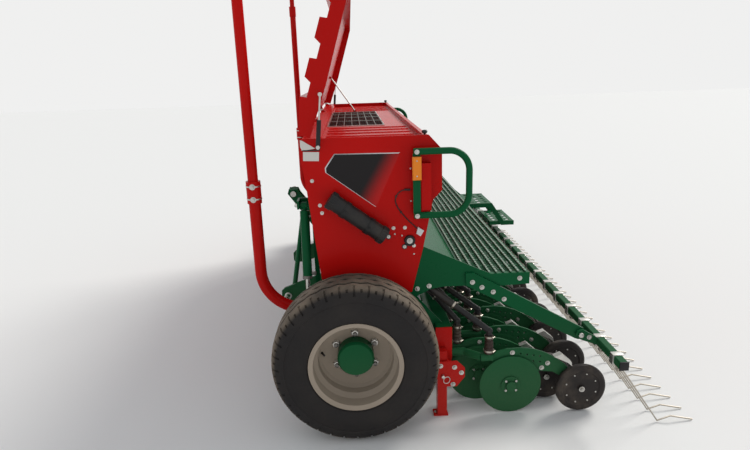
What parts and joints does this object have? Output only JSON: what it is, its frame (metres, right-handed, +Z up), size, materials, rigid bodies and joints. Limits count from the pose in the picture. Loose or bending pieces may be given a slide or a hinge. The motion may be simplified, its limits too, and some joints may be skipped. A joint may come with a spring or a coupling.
{
  "type": "seed drill",
  "caption": "Mechanical seed drill on two carrying wheels with a long seed box under a raised lid, disc coulters, press wheels, folded markers, a rear walkway and a tined harrow.",
  "frame": {"origin": "on the floor, under the middle of the whole length and width", "axes": "+X to the right of travel, +Y forwards in the direction of travel, +Z up"},
  "size_m": [3.384, 2.1739, 2.372],
  "materials": {
    "red_paint": "gloss",
    "green_paint": "gloss",
    "black_plastic": "matte",
    "bare_steel": "satin",
    "rim_paint": "satin",
    "amber_plastic": "gloss",
    "tyre_rubber": "matte",
    "roller_rubber": "matte",
    "boot_rubber": "matte"
  },
  "bodies": {
    "frame": {"hopper": "red_paint", "cover_sheet": "red_paint", "hinge_brackets": "red_paint", "end_panels": "red_paint", "sieve": "bare_steel", "metering_housings": "black_plastic", "agitator_shaft": "bare_steel", "seed_tubes": "black_plastic", "seed_boots": "boot_rubber", "main_frame": "green_paint", "headstock": "green_paint", "stub_axles": "bare_steel", "side_plates": "green_paint", "walkway_frame": "green_paint", "walkway_tread": "green_paint", "steps": "green_paint", "guard_rails": "green_paint", "reflectors": "amber_plastic", "document_tube": "black_plastic", "coulter_arms": "green_paint", "coulter_bodies": "green_paint", "coulter_discs": "green_paint", "press_wheels": "roller_rubber", "scrapers": "bare_steel", "stand_sockets": "red_paint", "harrow_arms": "green_paint"},
    "lid": {"lid": "red_paint", "lid_ends": "red_paint"},
    "stay": {"lid_stay": "bare_steel"},
    "strut_tube_left": {"strut_barrel_left": "black_plastic"},
    "strut_stem_left": {"strut_rod_left": "bare_steel"},
    "wheel_left": {"tyre_left": "tyre_rubber", "rim_left": "rim_paint", "hub_left": "green_paint"},
    "marker_arm_left": {"marker_left": "red_paint"},
    "disc_left": {"marker_disc_left": "bare_steel"},
    "cylinder_tube_left": {"cylinder_left": "green_paint"},
    "cylinder_stem_left": {"cylinder_rod_left": "bare_steel"},
    "parking_stand_left": {"stand_left": "red_paint"},
    "strut_tube_right": {"strut_barrel_right": "black_plastic"},
    "strut_stem_right": {"strut_rod_right": "bare_steel"},
    "wheel_right": {"tyre_right": "tyre_rubber", "rim_right": "rim_paint", "hub_right": "green_paint"},
    "marker_arm_right": {"marker_right": "red_paint"},
    "disc_right": {"marker_disc_right": "bare_steel"},
    "cylinder_tube_right": {"cylinder_right": "green_paint"},
    "cylinder_stem_right": {"cylinder_rod_right": "bare_steel"},
    "parking_stand_right": {"stand_right": "red_paint"},
    "harrow": {"harrow_bar": "green_paint", "harrow_tines": "bare_steel"}
  },
  "joints": [
    {"name": "lid_hinge", "type": "hinge", "parent": "frame", "child": "lid", "pos_m": [0, 0.689, 1.376], "axis": [1, 0, 0], "range_deg": [0, 72]},
    {"name": "stay_fold", "type": "hinge", "parent": "lid", "child": "stay", "pos_m": [0.6, 0.61355, 1.60173], "axis": [1, 0, 0], "range_deg": [-127.78, 0]},
    {"name": "strut_foot_left", "type": "hinge", "parent": "frame", "child": "strut_tube_left", "pos_m": [-1.432, 0.621, 1.327], "axis": [1, 0, 0], "range_deg": [0, 76.77]},
    {"name": "strut_slide_left", "type": "slide", "parent": "strut_tube_left", "child": "strut_stem_left", "axis": [0, -0.0929, 0.9957], "range_m": [-0.0865, 0]},
    {"name": "wheel_spin_left", "type": "hinge", "parent": "frame", "child": "wheel_left", "pos_m": [-1.56, 0.494, 0.38], "axis": [1, 0, 0], "continuous": true},
    {"name": "marker_fold_left", "type": "hinge", "parent": "frame", "child": "marker_arm_left", "pos_m": [-1.3, 0.709, 0.52], "axis": [0, -1, 0], "range_deg": [0, 101.5]},
    {"name": "disc_spin_left", "type": "hinge", "parent": "marker_arm_left", "child": "disc_left", "pos_m": [-1.3, 0.939, 2.35], "axis": [0, 0, 1], "continuous": true},
    {"name": "cylinder_top_left", "type": "hinge", "parent": "frame", "child": "cylinder_tube_left", "pos_m": [-1.3, 0.709, 1.04], "axis": [0, -1, 0], "range_deg": [0, 5.57]},
    {"name": "cylinder_slide_left", "type": "slide", "parent": "cylinder_tube_left", "child": "cylinder_stem_left", "axis": [-0.1804, 0, -0.9836], "range_m": [0, 0.1639]},
    {"name": "stand_slide_left", "type": "slide", "parent": "frame", "child": "parking_stand_left", "axis": [0, 0, 1], "range_m": [0, 0.18]},
    {"name": "strut_foot_right", "type": "hinge", "parent": "frame", "child": "strut_tube_right", "pos_m": [1.432, 0.621, 1.327], "axis": [1, 0, 0], "range_deg": [0, 76.77]},
    {"name": "strut_slide_right", "type": "slide", "parent": "strut_tube_right", "child": "strut_stem_right", "axis": [0, -0.0929, 0.9957], "range_m": [-0.0865, 0]},
    {"name": "wheel_spin_right", "type": "hinge", "parent": "frame", "child": "wheel_right", "pos_m": [1.56, 0.494, 0.38], "axis": [1, 0, 0], "continuous": true},
    {"name": "marker_fold_right", "type": "hinge", "parent": "frame", "child": "marker_arm_right", "pos_m": [1.3, 0.709, 0.52], "axis": [0, 1, 0], "range_deg": [0, 101.5]},
    {"name": "disc_spin_right", "type": "hinge", "parent": "marker_arm_right", "child": "disc_right", "pos_m": [1.3, 0.939, 2.35], "axis": [0, 0, 1], "continuous": true},
    {"name": "cylinder_top_right", "type": "hinge", "parent": "frame", "child": "cylinder_tube_right", "pos_m": [1.3, 0.709, 1.04], "axis": [0, 1, 0], "range_deg": [0, 5.57]},
    {"name": "cylinder_slide_right", "type": "slide", "parent": "cylinder_tube_right", "child": "cylinder_stem_right", "axis": [0.1804, 0, -0.9836], "range_m": [0, 0.1639]},
    {"name": "stand_slide_right", "type": "slide", "parent": "frame", "child": "parking_stand_right", "axis": [0, 0, 1], "range_m": [0, 0.18]},
    {"name": "harrow_lift", "type": "hinge", "parent": "frame", "child": "harrow", "pos_m": [0, -0.612, 0.362], "axis": [-1, 0, 0], "range_deg": [0, 25]}
  ],
  "couplings": [
    {"joint": "stay_fold", "follows": "lid_hinge", "ratio": -1.7706},
    {"joint": "strut_foot_left", "follows": "lid_hinge", "ratio": 1.0592},
    {"joint": "strut_slide_left", "follows": "lid_hinge", "m_per_rad": -0.06844},
    {"joint": "cylinder_top_left", "follows": "marker_fold_left", "ratio": 0.05189},
    {"joint": "cylinder_slide_left", "follows": "marker_fold_left", "m_per_rad": 0.09197},
    {"joint": "strut_foot_right", "follows": "lid_hinge", "ratio": 1.0592},
    {"joint": "strut_slide_right", "follows": "lid_hinge", "m_per_rad": -0.06844},
    {"joint": "cylinder_top_right", "follows": "marker_fold_right", "ratio": 0.05189},
    {"joint": "cylinder_slide_right", "follows": "marker_fold_right", "m_per_rad": 0.09197}
  ]
}
